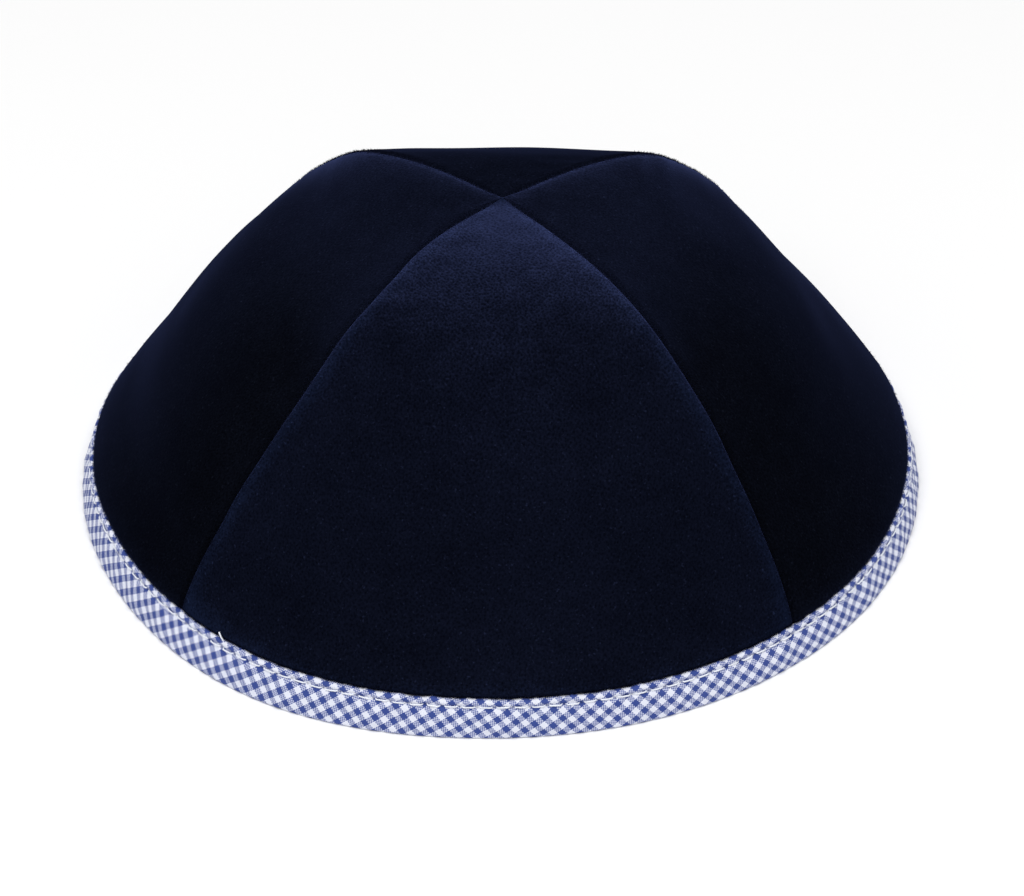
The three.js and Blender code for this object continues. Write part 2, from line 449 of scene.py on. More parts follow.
def fullness(side, a, height, from_seam, level):
    """How far the soft cloth stands out past the form. The left panel is fuller at its shoulder and
    the back panel a little slack near the top, both away from their seams. Beside the back seams,
    both panels stand out along a bell curve of the distance, less towards the top. Level is the
    distance from the seam, smoothed at the panel's middle."""
    rise = height / CROWN_HEIGHT
    far_away = 1.0
    from_back_seam = {
        "right": np.where(a > 0, from_seam, far_away),
        "left": np.where(a < 0, from_seam, far_away),
        "back": from_seam,
        "front": far_away,
    }[side]
    upper_seam = smoothstep(rise, 0.35, 0.50) * (1 - smoothstep(rise, 0.90, 0.98))
    lower_by = (CREST_HEIGHT - CREST_HEIGHT_AT_TOP) * smoothstep(rise, 0.58, 0.78)
    bell = np.exp(-((from_back_seam / CREST_WIDTH) ** 2))
    crest = (CREST_HEIGHT - lower_by) * upper_seam * bell
    if side == "left":
        shoulder = smoothstep(rise, 0.26, 0.44) * (1 - smoothstep(rise, 0.66, 0.88))
        return crest + LEFT_SHOULDER * shoulder * smoothstep(level, 0, 12 * MM)
    if side == "back":
        slack = smoothstep(rise, 0.55, 0.70) * (1 - smoothstep(rise, 0.85, 1.0))
        return crest - BACK_SLACK * slack * smoothstep(level, 7 * MM, 17 * MM)
    return crest


def panel_places(side, a, length):
    """Points of one panel's pile face, of its backing, and its cloth coordinates, where a runs
    across from -1 to 1 at the seams and length up from the rim. The face follows the form, is
    pressed in under the tape, swells out above it, rolls down into each seam along a quarter ellipse
    and is puckered a little there."""
    angle, edge, azimuth = panel_angles(side, a, length)
    reach, height, outward, upward, mitre = form_at(length, angle)

    pressing = 1 - smoothstep(height, TAPE_HEIGHT - 0.2 * MM, TAPE_HEIGHT + SWELL_HEIGHT)
    pressed = (TAPE_WALL + SEWING_GAP) * pressing
    face_reach = reach - pressed * mitre / outward

    across = angle * reach
    from_seam = (edge - np.abs(angle)) * reach
    roll = np.minimum(SEAM_ROLL, 0.3 * edge * reach)
    into_roll = np.clip(1 - from_seam / roll, 0, 1)
    depth = np.minimum(SEAM_DEPTH, 0.2 * reach)
    dip = depth * (1 - np.sqrt(np.maximum(1 - into_roll**2, 0)))
    level = (edge**2 - angle**2) / (2 * edge) * reach
    near_seam = np.exp(-level / (6 * MM)) * smoothstep(level, 0, 1.5 * MM) * smoothstep(np.abs(a), 0, 0.6)
    seam_place = (PANEL_FACING[side] + np.sign(a)) * 40 * MM
    panel_place = across + PANEL_FACING[side] * 30 * MM
    pucker = PUCKER_DEPTH * near_seam * ripple(seam_place, length, PUCKER_LENGTH, 11)
    billow = BILLOW_DEPTH * ripple(panel_place, length, BILLOW_LENGTH, 12) * smoothstep(level, 0, 9 * MM)
    fuller = pucker + billow + fullness(side, a, height, from_seam, level)
    inset = (dip - fuller * (1 - pressing)) * mitre
    face = place_points(face_reach - inset * outward, azimuth, height - inset * upward)

    wall = VELVET_WALL * mitre
    backing_height = np.maximum(height - wall * upward, TAPE_WALL + SEWING_GAP)
    backing = place_points(np.maximum(face_reach - wall * outward, 0), azimuth, backing_height)
    cloth = np.stack(np.broadcast_arrays(across, length), axis=-1)
    return face, backing, cloth


def panel_grid():
    """Columns a from seam to seam, gathered towards the seams, and rows by length up from the cut
    edge, finer up to where the velvet has swelled out, to just below the tip."""
    a = np.linspace(-1, 1, PANEL_COLUMNS)
    a = np.sign(a) * (1 - (1 - np.abs(a)) ** 1.5)
    cut_edge = length_at_height(TAPE_WALL + SEWING_GAP)
    swell_top = length_at_height(TAPE_HEIGHT + 2 * SWELL_HEIGHT)
    last_row = SEAM_LENGTH - 0.5 * MM
    hem = np.linspace(cut_edge, swell_top, HEM_ROWS, endpoint=False)
    rest = np.linspace(swell_top, last_row, PANEL_ROWS - HEM_ROWS)
    return a[None, :], np.concatenate([hem, rest])[:, None]


def panel_mesh(side, pile, backing_cloth):
    """Close a panel's two grids into one shell: both faces, both seam edges, the cut edge, and fans
    of triangles to the tip."""
    a, length = panel_grid()
    face, backing, uv = panel_places(side, a, length)
    uphill, backwards, tone = (
        np.broadcast_to(part, face.shape[:2]) for part in pile_lean_and_painted_shading(side, a, length)
    )
    above_tip = np.array([*TIP_SHIFT, CROWN_HEIGHT + 1 * MM])
    towards_back = np.array([0.0, 1.0, 0.0])
    lean = uphill[..., None] * unit(above_tip - face) + backwards[..., None] * towards_back
    rows, columns = face.shape[:2]
    tip_azimuth = PANEL_FACING[side]
    tips = np.stack(
        [
            place_points(SEAM_CLEARANCE, tip_azimuth, CROWN_HEIGHT),
            place_points(SEAM_CLEARANCE, tip_azimuth, CROWN_HEIGHT - VELVET_WALL),
        ]
    )
    points = np.concatenate([face.reshape(-1, 3), backing.reshape(-1, 3), tips])
    tip_uv = np.array([[0, SEAM_LENGTH]] * 2)
    uv = np.concatenate([uv.reshape(-1, 2), uv.reshape(-1, 2), tip_uv])
    lean = np.concatenate([lean.reshape(-1, 3), lean.reshape(-1, 3), lean[-1, :2]])
    tone = np.concatenate([tone.ravel(), tone.ravel(), tone[-1, :2]])

    count = rows * columns
    outer = grid_quads(rows, columns)
    inner = outer[:, ::-1] + count
    row, column = np.arange(rows - 1), np.arange(columns - 1)
    left, right = row * columns, row * columns + columns - 1
    left_edge = np.stack([left, left + columns, left + columns + count, left + count], axis=1)
    right_edge = np.stack([right, right + count, right + columns + count, right + columns], axis=1)
    cut_edge = np.stack([column, column + count, column + count + 1, column + 1], axis=1)
    top = (rows - 1) * columns + column
    outer_tip, inner_tip = 2 * count, 2 * count + 1
    outer_fan = np.stack([top, top + 1, np.full_like(top, outer_tip)], axis=1)
    inner_fan = np.stack([top + 1 + count, top + count, np.full_like(top, inner_tip)], axis=1)
    last_left, last_right = (rows - 1) * columns, rows * columns - 1
    tip_edges = np.array(
        [
            [last_left, outer_tip, inner_tip, last_left + count],
            [last_right, last_right + count, inner_tip, outer_tip],
        ]
    )
    faces = [outer, outer_fan, left_edge, right_edge, cut_edge, tip_edges, inner, inner_fan]
    slots = np.repeat([0, 0, 0, 0, 0, 0, 1, 1], [len(part) for part in faces])
    # The second attribute is painted light and shade for the velvet's dye colour
    values = {"pile_lean": lean, "painted_pile_shading": tone}
    name = f"velvet_panel_{side}"
    piece = make_piece(name, points, faces, [pile, backing_cloth], slots, uv, values)
    return piece


def cut_area(side):
    """Area of velvet that a panel shows, found from the cells of its pile face."""
    face = panel_places(side, *panel_grid())[0]
    one, other = face[1:, 1:] - face[:-1, :-1], face[1:, :-1] - face[:-1, 1:]
    return float(np.linalg.norm(np.cross(one, other), axis=-1).sum() / 2)


# Loose ends of the pile

SEAM_STRANDS = 1300
HEM_STRANDS = 1800
STRAND_RADIUS = 0.055 * MM


def loose_pile(side, draw):
    """Roots, directions, lengths and painted light of one panel's loose pile: along the crests of both
    seams, where it stands out over the seam, and along the tape, where it lies over the tape's edge.
    The painted light is strongest on the front panel near the top, weaker on the sides and weakest on
    the back."""
    hem = length_at_height(TAPE_HEIGHT + 0.2 * MM)
    count = 2 * SEAM_STRANDS
    length = np.concatenate(
        [
            draw.uniform(hem, SEAM_LENGTH - 1.5 * MM, count),
            length_at_height(TAPE_HEIGHT + draw.uniform(0.1, 0.9, HEM_STRANDS) * MM),
        ]
    )
    _, edge, _ = panel_angles(side, np.zeros(1), length)
    reach = form_at(length, edge)[0]
    from_seam = draw.uniform(0.15, 1.1, len(length)) * MM
    seam_side = np.where(np.arange(len(length)) % 2 == 0, -1.0, 1.0)
    a = seam_side * (1 - np.minimum(from_seam / (edge * reach), 0.6))
    a[count:] = draw.uniform(-0.99, 0.99, HEM_STRANDS)
    face, backing, _ = panel_places(side, a, length)
    beside, _, _ = panel_places(side, a * 0.995, length)
    below, _, _ = panel_places(side, a, length - 0.3 * MM)
    out = unit(face - backing)
    sideways = unit(face - beside)
    downhill = unit(below - face)
    at_hem = (np.arange(len(length)) >= count)[:, None]
    spread = draw.normal(0, 0.30, face.shape)
    way = out + np.where(at_hem, 0.9 * downhill, 0.7 * sideways - 0.3 * downhill) + spread
    reach_out = draw.uniform(0.35, 0.65, len(length)) * MM
    rise = face[:, 2] / CROWN_HEIGHT
    # Painted light of the loose pile: by panel, and stronger towards the top
    shade = {"front": 0.8, "back": 0.15}.get(side, 0.5) * (0.22 + 0.78 * smoothstep(rise, 0.45, 1.0))
    return face - 0.1 * MM * out, unit(way), reach_out, shade


def strand_mesh(pile_ends):
    """Loose pile as slim three-sided spikes: three points round each root and one at its end."""
    draw = np.random.default_rng(41)
    parts = [loose_pile(side, draw) for side in PANEL_FACING]
    root, way, size, shade = (np.concatenate(part) for part in zip(*parts))
    one = unit(np.cross(way, draw.normal(0, 1, way.shape)))
    other = np.cross(way, one)
    turn = np.array([0, 2, 4]) * math.pi / 3
    ring = root[:, None] + STRAND_RADIUS * (
        one[:, None] * np.cos(turn)[None, :, None] + other[:, None] * np.sin(turn)[None, :, None]
    )
    points = np.concatenate([ring, (root + way * size[:, None])[:, None]], axis=1)
    first = 4 * np.arange(len(root))[:, None, None]
    faces = first + np.array([[0, 1, 3], [1, 2, 3], [2, 0, 3], [0, 2, 1]])
    # The painted light of each strand, for its colour
    values = {"painted_pile_shading": np.repeat(shade, 4)}
    piece = make_piece("velvet_loose_pile", points, [faces.reshape(-1, 3)], [pile_ends], values=values)
    return piece


# Gingham binding

TAPE_STATIONS = 1440
OUTSIDE_ROWS = 22
INSIDE_ROWS = 10


def tape_section():
    """The tape's section as insets from the form, heights, and lengths still to go. It runs inwards
    along the foot, up the inside, over its edge, down and up the channel that holds the velvet, over
    the outside's edge and down the outside to where it began. The outside, where the pattern shows,
    has the most points."""
    fold = 0.7 * MM
    turn = 0.42 * MM
    quarter_turn = np.linspace(0, math.pi / 2, 7)
    outside_heights = np.linspace(fold, TAPE_HEIGHT - turn, OUTSIDE_ROWS)
    inside_heights = np.linspace(fold, TAPE_HEIGHT_INSIDE - turn, INSIDE_ROWS)
    pieces = [
        (np.array([fold + 0.05 * MM]), np.array([0.0])),
        (INSIDE_FACE - fold + fold * np.sin(quarter_turn), fold - fold * np.cos(quarter_turn)),
        (np.full(INSIDE_ROWS, INSIDE_FACE), inside_heights),
        (
            INSIDE_FACE - turn + turn * np.cos(quarter_turn),
            TAPE_HEIGHT_INSIDE - turn + turn * np.sin(quarter_turn),
        ),
        (
            np.array([INSIDE_LEG, INSIDE_LEG, TAPE_WALL, TAPE_WALL]),
            np.array([TAPE_HEIGHT_INSIDE, TAPE_WALL, TAPE_WALL, TAPE_HEIGHT]),
        ),
        (turn - turn * np.sin(quarter_turn), TAPE_HEIGHT - turn + turn * np.cos(quarter_turn)),
        (np.zeros(OUTSIDE_ROWS), outside_heights[::-1]),
        (fold - fold * np.cos(quarter_turn), fold - fold * np.sin(quarter_turn)),
    ]
    inset = np.concatenate([p[0] for p in pieces])
    height = np.concatenate([p[1] for p in pieces])
    keep = np.concatenate([[True], np.hypot(np.diff(inset), np.diff(height)) > 1e-6])
    inset, height = inset[keep], height[keep]
    gone = np.concatenate([[0], np.cumsum(np.hypot(np.diff(inset), np.diff(height)))])
    return inset, height, gone[-1] - gone


def tape_relief(azimuth, height, outside, inside):
    """Depth of the tape's faces under their plain form, worked out in millimetres and given in
    metres. The outside bulges between the fold and the stitch line, is drawn in along that line,
    most where a needle went in, and wavers a little. The inside bulges and is drawn in too."""
    crease_width = 0.42 * MM
    along = azimuth * RIM_RADIUS
    stitch = np.cos(STITCH_COUNT * azimuth)
    crease = np.exp(-(((height - STITCH_LINE) / crease_width) ** 2))
    body = smoothstep(height, 0.4 * MM, 2.2 * MM) * (1 - smoothstep(height, 3.6 * MM, STITCH_LINE))
    lip = smoothstep(height, STITCH_LINE, TAPE_HEIGHT - 0.5 * MM)
    swelling = 0.22 * body * (1 + 0.5 * ripple(along, 0, 9 * MM, 21)) + 0.10 * lip * (1 - 0.4 * stitch)
    waver = 0.10 * ripple(along, height, 6 * MM, 22) + 0.08 * ripple(along, height, 2.6 * MM, 23)
    outside_depth = crease * (0.30 + 0.08 * stitch) - swelling - waver * smoothstep(height, 0, 1 * MM)
    inside_depth = 0.12 * body - 0.25 * crease
    return (outside * outside_depth + inside * inside_depth) * MM


def tape_points(azimuth, inset, height):
    """Points of the tape from their inset from the form, level in their own upright plane."""
    angle = azimuth - math.pi / 2 * np.round(azimuth / (math.pi / 2))
    reach, _, outward, _, mitre = form_at(length_at_height(height), angle)
    return place_points(reach - inset * mitre / outward, azimuth, height)


def tape_surface():
    """The tape's section carried round the rim. Its upper edge wavers, and is pulled down a little
    at each needle hole."""
    inset, height, across = tape_section()
    azimuth = np.linspace(0, 2 * math.pi, TAPE_STATIONS, endpoint=False)[:, None]
    outside = ((inset < TAPE_WALL * 0.99) & (height > 0.05 * MM))[None, :]
    inside = (inset > INSIDE_LEG + 0.5 * TAPE_WALL)[None, :]
    depth = tape_relief(azimuth, height[None, :], outside, inside)
    points = tape_points(azimuth, inset[None, :] + depth, height[None, :])
    waver = 0.16 * ripple(azimuth * RIM_RADIUS, 0, 7 * MM, 24) - 0.07 * np.cos(STITCH_COUNT * azimuth)
    points[..., 2] += np.where(height[None, :] > TAPE_HEIGHT - 1.2 * MM, waver * MM, 0)
    return points, azimuth, across


def binding_mesh(gingham):
    """The tape as one closed ring. Its UV runs once round the rim, and up the outside from the
    fold."""
    points, azimuth, across = tape_surface()
    rows, columns = points.shape[:2]
    closed = np.concatenate([points, points[:1]])
    around = np.concatenate([azimuth, [[2 * math.pi]]])
    uv = np.stack(np.broadcast_arrays(around / (2 * math.pi), across[None, :]), axis=-1)
    cells = grid_quads(rows + 1, columns)
    row = np.arange(rows)
    last = np.stack([row * columns + columns - 1, row * columns], axis=1)
    foot = np.concatenate([last, last[:, ::-1] + columns], axis=1)
    piece = make_piece("gingham_binding", closed, [cells[:, ::-1], foot[:, ::-1]], [gingham], uv=uv)
    weld_ring(piece)
    return piece


def weld_ring(piece):
    """Join the ring's first and last stations, which lie on each other so that the UV can run from
    0 to 1."""
    work = bmesh.new()
    work.from_mesh(piece.data)
    bmesh.ops.remove_doubles(work, verts=work.verts, dist=1e-6)
    work.to_mesh(piece.data)
    work.free()


# Stitches

STITCH_RINGS = 7
TAIL_RINGS = 12
THREAD_SIDES = 6
TAIL_AZIMUTH = math.radians(-90 - 37.5)


def thread_tube(centre, radius):
    """Skin of a row of short threads: six points round each ring of centres, closed at both ends.
    Centre has one row for each thread and one column for each ring. UV runs round and along."""
    along = unit(np.gradient(centre, axis=1))
    side = unit(np.cross(along, np.array([0.0, 0.0, 1.0])))
    up = np.cross(side, along)
    turn = np.linspace(0, 2 * math.pi, THREAD_SIDES, endpoint=False)[:, None]
    points = centre[:, :, None] + radius * (side[:, :, None] * np.cos(turn) + up[:, :, None] * np.sin(turn))
    threads, rings = centre.shape[:2]
    ring, side_index = np.arange(rings - 1)[:, None], np.arange(THREAD_SIDES)[None, :]
    here, beside = ring * THREAD_SIDES + side_index, ring * THREAD_SIDES + (side_index + 1) % THREAD_SIDES
    walls = np.stack([here, beside, beside + THREAD_SIDES, here + THREAD_SIDES], axis=-1)
    first = (rings * THREAD_SIDES * np.arange(threads))[:, None]
    walls = (first[:, :, None] + walls.reshape(1, -1, 4)).reshape(-1, 4)
    cap = np.arange(THREAD_SIDES)
    near, far = first + cap[::-1], first + cap + (rings - 1) * THREAD_SIDES
    step = np.linalg.norm(np.diff(centre, axis=1), axis=-1)
    length = np.concatenate([np.zeros((threads, 1)), np.cumsum(step, axis=1)], axis=1)
    round_share = np.arange(THREAD_SIDES) / THREAD_SIDES
    uv = np.stack(np.broadcast_arrays(round_share[None, None, :], length[:, :, None]), axis=-1)
    return points, [walls[:, ::-1], near[:, ::-1], far[:, ::-1]], uv


def stitch_row(name, face_inset, outwards, seed, thread):
    """One side of the machine stitching: a thread from each needle hole to the next. It rises out
    of the cloth, lies in the crease, and sinks again, as the eighth power of the distance from its
    middle. The row wavers a little."""
    draw = np.random.default_rng(seed)
    t = np.linspace(-1, 1, STITCH_RINGS)[None, :]
    number = np.arange(STITCH_COUNT)[:, None] + 0.5
    azimuth = (number + 0.45 * t) * 2 * math.pi / STITCH_COUNT
    sink = face_inset + outwards * (-0.15 + 0.75 * t**8) * MM
    slant = draw.normal(0, 0.05, (STITCH_COUNT, 1)) * t + draw.normal(0, 0.04, (STITCH_COUNT, 1))
    centre = tape_points(azimuth, sink, STITCH_LINE + slant * MM)
    points, faces, uv = thread_tube(centre, THREAD_RADIUS)
    piece = make_piece(name, points, faces, [thread], uv=uv)
    return piece


def tail_mesh(thread):
    """A cut end of thread, 2 mm long, that comes out under the tape's upper edge on the left of the
    front and lies up over the velvet in a slight bow."""
    t = np.linspace(0, 1, TAIL_RINGS)[None, :]
    azimuth = TAIL_AZIMUTH - 1.0 * t**1.5 * MM / RIM_RADIUS
    inset = (0.5 - 1.7 * t + 0.8 * t**2) * MM
    centre = tape_points(azimuth, inset, TAPE_HEIGHT + (1.8 * t - 0.3) * MM)
    points, faces, uv = thread_tube(centre, THREAD_RADIUS)
    piece = make_piece("thread_tail", points, faces, [thread], uv=uv)
    return piece


# Materials

# How far the pile leans and how it shines
PILE_LEAN = 0.78
SHEEN_ROUGHNESS = 0.30
SHEEN_TINT = "#444f80"

# Scale of each pattern, and the length in which the thread turns once
CLOUD_SIZE = 22 * MM
STROKE_SIZE = 4 * MM
HIGHLIGHT_SIZE = 0.55 * MM
GRAIN_SIZE = 0.4 * MM
TUFT_SIZE = (0.65 * MM, 0.82 * MM)
GROUND_WEAVE = 0.5 * MM
THREAD_TWIST = 1.4 * MM


def new_material(name):
    """An empty node material with a Principled BSDF that reaches its output."""
    material = bpy.data.materials.new(name)
    material.use_nodes = True
    tree = material.node_tree
    tree.nodes.clear()
    shader = node(tree, "ShaderNodeBsdfPrincipled")
    node(tree, "ShaderNodeOutputMaterial", {"Surface": shader.outputs["BSDF"]})
    return material, tree, shader


def set_stops(ramp, *stops):
    """Give a colour ramp its stops, each a position and a hex colour, from the lowest to the
    highest."""
    elements = ramp.color_ramp.elements
    for position, _ in stops[1:-1]:
        elements.new(position)
    for element, (position, hex_colour) in zip(elements, stops):
        element.position = position
        element.color = linear(hex_colour)


def pile_direction(tree, amount):
    """Normal of the pile's face: the surface's own, leant the way the pile is brushed."""
    surface = node(tree, "ShaderNodeNewGeometry").outputs["Normal"]
    brushed = node(tree, "ShaderNodeAttribute", attribute_name="pile_lean").outputs["Vector"]
    leaning = node(tree, "ShaderNodeVectorMath", {0: brushed, "Scale": amount}, operation="SCALE")
    tilted = node(tree, "ShaderNodeVectorMath", {0: surface, 1: leaning}, operation="ADD")
    return node(tree, "ShaderNodeVectorMath", {0: tilted}, operation="NORMALIZE")


def velvet_material():
    """Cotton velvet with a short cut pile, dyed navy. The pile drinks the light that falls straight
    in and catches it at a slant, so that the cloth is nearly black face on and blue where it turns
    away. It leans towards the top of the crown, unevenly, which clouds the sheen, and stands in
    small tufts, 0.6 to 0.8 mm apart, with painted shade in the pits between them. Here and there a
    painted highlight, where a loose tip would catch the light, makes it lighter. The dye colour also
    carries each panel's painted light and shade."""
    material, tree, shader = new_material("cotton_velvet_navy")
    cloth = node(tree, "ShaderNodeTexCoord").outputs["UV"]
    place = node(tree, "ShaderNodeTexCoord").outputs["Object"]
    clouds = noise(tree, place, CLOUD_SIZE, 3.0)
    strokes = noise(tree, place, STROKE_SIZE, 4.0)
    highlight_noise = noise(tree, place, HIGHLIGHT_SIZE, 1.0)
    grain = noise(tree, place, GRAIN_SIZE, 2.0)
    turned = node(
        tree,
        "ShaderNodeMapping",
        {
            "Vector": cloth,
            "Rotation": (0, 0, math.radians(42)),
            "Scale": (1 / TUFT_SIZE[0], 1 / TUFT_SIZE[1], 1.0),
        },
    )
    tufts = node(
        tree,
        "ShaderNodeTexVoronoi",
        {"Vector": turned, "Scale": 1.0, "Randomness": 0.75},
        voronoi_dimensions="2D",
    )

    uneven = mix(tree, 0.45, clouds, strokes)
    brushed = remap(tree, uneven, 0.3, 0.7, 0.88 * PILE_LEAN, 1.16 * PILE_LEAN)
    pits = remap(tree, tufts.outputs["Distance"], 0.0, 0.45, 0.80, 1.08)
    specks = remap(tree, grain, 0.3, 0.7, 0.84, 1.16)
    clouded = remap(tree, uneven, 0.35, 0.65, 0.82, 1.2)
    # Painted highlights: rare spots made up to 2.4 times lighter, where loose pile tips would catch the
    # light
    painted_highlights = remap(tree, highlight_noise, 0.66, 0.76, 1.0, 2.4)
    fine = maths(tree, "MULTIPLY", pits, specks)
    amount = maths(tree, "MULTIPLY", brushed, fine)
    relief = mix(tree, 0.5, grain, tufts.outputs["Distance"])
    bump = node(
        tree,
        "ShaderNodeBump",
        {"Strength": 0.3, "Distance": 0.1 * MM, "Height": relief, "Normal": pile_direction(tree, amount)},
    )
    # Painted light and shade of the panels, which lightens or darkens the dye
    painted_shading = node(tree, "ShaderNodeAttribute", attribute_name="painted_pile_shading")
    mottle = mix(tree, 0.5, uneven, grain)
    # Random mottle mixed with the painted light and shade
    tone = mix(tree, 0.6, mottle, painted_shading.outputs["Fac"])
    colour = node(tree, "ShaderNodeValToRGB", {"Fac": tone})
    # Dye colours from the deepest painted shade to the strongest painted light
    set_stops(colour, (0.2, "#040509"), (0.8, "#090c18"), (1.0, "#10172b"))
    # Painted shade in the pits between tufts, times random grain, for the dye colour
    pit_shade_and_grain = remap(tree, fine, 0.7, 1.2, 0.45, 1.5)
    # Painted highlight specks times random clouds
    highlights_and_clouds = maths(tree, "MULTIPLY", painted_highlights, clouded)
    shade = maths(tree, "MULTIPLY", pit_shade_and_grain, highlights_and_clouds)
    # Dye colour times painted shade in the pits, painted highlight specks and random clouds
    dyed = node(tree, "ShaderNodeVectorMath", {0: colour, "Scale": shade}, operation="SCALE")
    dull = {"Roughness": 1.0, "Specular IOR Level": 0.0}
    sheen = {
        "Sheen Weight": 1.0,
        "Sheen Roughness": SHEEN_ROUGHNESS,
        "Sheen Tint": linear(SHEEN_TINT),
    }
    plug(tree, shader, {"Base Color": dyed, "Normal": bump, **dull, **sheen})
    return material


def pile_ends_material():
    """Loose ends of the same pile along the seams and the hem: the dye alone, with painted light that
    makes it lighter where the pile would catch the light."""
    material, tree, shader = new_material("cotton_pile_ends")
    painted_shading = node(tree, "ShaderNodeAttribute", attribute_name="painted_pile_shading")
    # Painted light, from the darkest dye to the lightest
    colour = node(tree, "ShaderNodeValToRGB", {"Fac": painted_shading.outputs["Fac"]})
    set_stops(colour, (0.0, "#06070c"), (1.0, "#262c4c"))
    plug(tree, shader, {"Base Color": colour, "Roughness": 1.0, "Specular IOR Level": 0.0})
    return material


def backing_material():
    """Plain cotton ground of the velvet, seen from inside: dull, dyed with the pile, with an even
    over-and-under weave. The weave is drawn 0.5 mm wide, coarser than the real one, to show."""
    material, tree, shader = new_material("cotton_velvet_ground")
    cloth = node(tree, "ShaderNodeTexCoord").outputs["UV"]
    place = node(tree, "ShaderNodeTexCoord").outputs["Object"]
    scaled = node(tree, "ShaderNodeMapping", {"Vector": cloth, "Scale": (1 / GROUND_WEAVE,) * 3})
    weave = node(tree, "ShaderNodeTexChecker", {"Vector": scaled, "Scale": 1.0})
    slubs = noise(tree, place, 3 * MM, 4.0)
    over = mix(tree, 0.45, weave.outputs["Fac"], slubs)
    colour = node(tree, "ShaderNodeValToRGB", {"Fac": over})
    set_stops(colour, (0.1, "#0a0e1e"), (0.9, "#171d38"))
    bump = node(
        tree, "ShaderNodeBump", {"Strength": 0.4, "Distance": 0.08 * MM, "Height": weave.outputs["Fac"]}
    )
    dull = {"Roughness": 0.92, "Specular IOR Level": 0.2, "Sheen Weight": 0.1, "Sheen Roughness": 0.5}
    plug(tree, shader, {"Base Color": colour, "Normal": bump, **dull})
    return material


# The gingham's two sets of bands: whole numbers of repeats round the rim, so that the ring closes,
# and how many repeats each set passes in a metre across the tape.
WARP_REPEATS = (173, 320.0)
WEFT_REPEATS = (125, -365.0)
THREADS_PER_REPEAT = 10

# How far a square of mixed threads shows the one on top rather than the mean of both, from 0 to 0.5
THREAD_CONTRAST = 0.33


def gingham_material():
    """Yarn-dyed cotton gingham, plain woven and cut on the bias. Blue and white threads cross in
    equal bands, so that squares are blue, white, or a mixture of both. Threads are about 0.2 mm
    wide, five to a band. Needle holes are small dots of painted shadow along the stitch line."""
    material, tree, shader = new_material("cotton_gingham_blue")
    cloth = node(tree, "ShaderNodeTexCoord").outputs["UV"]
    place = node(tree, "ShaderNodeTexCoord").outputs["Object"]
    parts = node(tree, "ShaderNodeSeparateXYZ", {"Vector": cloth})
    around = parts.outputs["X"]
    wander = noise(tree, place, 60 * MM, 1.0)
    across = maths(tree, "MULTIPLY_ADD", wander, 3 * MM, parts.outputs["Y"])

    blues, numbers, crowns = [], [], []
    for repeats_around, repeats_across in (WARP_REPEATS, WEFT_REPEATS):
        turned = maths(tree, "MULTIPLY", around, repeats_around)
        bands = maths(tree, "MULTIPLY_ADD", across, repeats_across, turned)
        share = maths(tree, "FRACT", bands)
        blues.append(maths(tree, "LESS_THAN", share, 0.5))
        fine = maths(tree, "MULTIPLY", bands, THREADS_PER_REPEAT)
        numbers.append(maths(tree, "FLOOR", fine))
        sine = maths(tree, "SINE", maths(tree, "MULTIPLY", fine, math.pi))
        crowns.append(maths(tree, "ABSOLUTE", sine))

    half = maths(tree, "MULTIPLY", maths(tree, "ADD", *numbers), 0.5)
    on_top = maths(tree, "LESS_THAN", maths(tree, "FRACT", half), 0.25)
    seen = remap(tree, on_top, 0, 1, 0.5 - THREAD_CONTRAST, 0.5 + THREAD_CONTRAST)
    blue = mix(tree, seen, blues[1], blues[0])
    fade = noise(tree, place, 1.2 * MM, 3.0)
    uneven = remap(tree, fade, 0, 1, -0.08, 0.08)
    tone = maths(tree, "ADD", blue, uneven)
    colour = node(tree, "ShaderNodeValToRGB", {"Fac": tone})
    set_stops(colour, (0.0, "#dee1ee"), (0.5, "#7883b8"), (1.0, "#33468a"))

    stitches = maths(tree, "MULTIPLY_ADD", around, STITCH_COUNT, 0.5)
    between = maths(tree, "FRACT", stitches)
    pitch = 2 * math.pi * RIM_RADIUS / STITCH_COUNT
    hole = (0.5 * pitch, tape_line_across(), 0.0)
    along = maths(tree, "MULTIPLY", between, pitch)
    spot = node(tree, "ShaderNodeCombineXYZ", {"X": along, "Y": parts.outputs["Y"]})
    away = node(tree, "ShaderNodeVectorMath", {0: spot, 1: hole}, operation="DISTANCE")
    # Painted shadow in each needle hole: 40 percent darker at its middle
    needle_hole_shadow = remap(tree, away.outputs["Value"], 0.08 * MM, 0.30 * MM, 0.6, 1.0)
    shaded = node(
        tree,
        "ShaderNodeMix",
        {"Factor": 1.0, "A": colour.outputs["Color"]},
        data_type="RGBA",
        blend_type="MULTIPLY",
    )
    tree.links.new(needle_hole_shadow.outputs[0], shaded.inputs["B"])

    crown = mix(tree, on_top, crowns[1], crowns[0])
    bump = node(tree, "ShaderNodeBump", {"Strength": 0.35, "Distance": 0.06 * MM, "Height": crown})
    dull = {"Roughness": 0.85, "Specular IOR Level": 0.25, "Sheen Weight": 0.08, "Sheen Roughness": 0.5}
    plug(tree, shader, {"Base Color": shaded.outputs["Result"], "Normal": bump, **dull})
    return material


def tape_line_across():
    """Distance across the tape from its fold to the stitch line, as its UV counts it."""
    inset, height, across = tape_section()
    outside = inset < 0.01 * MM
    return float(np.interp(-STITCH_LINE, -height[outside], across[outside]))


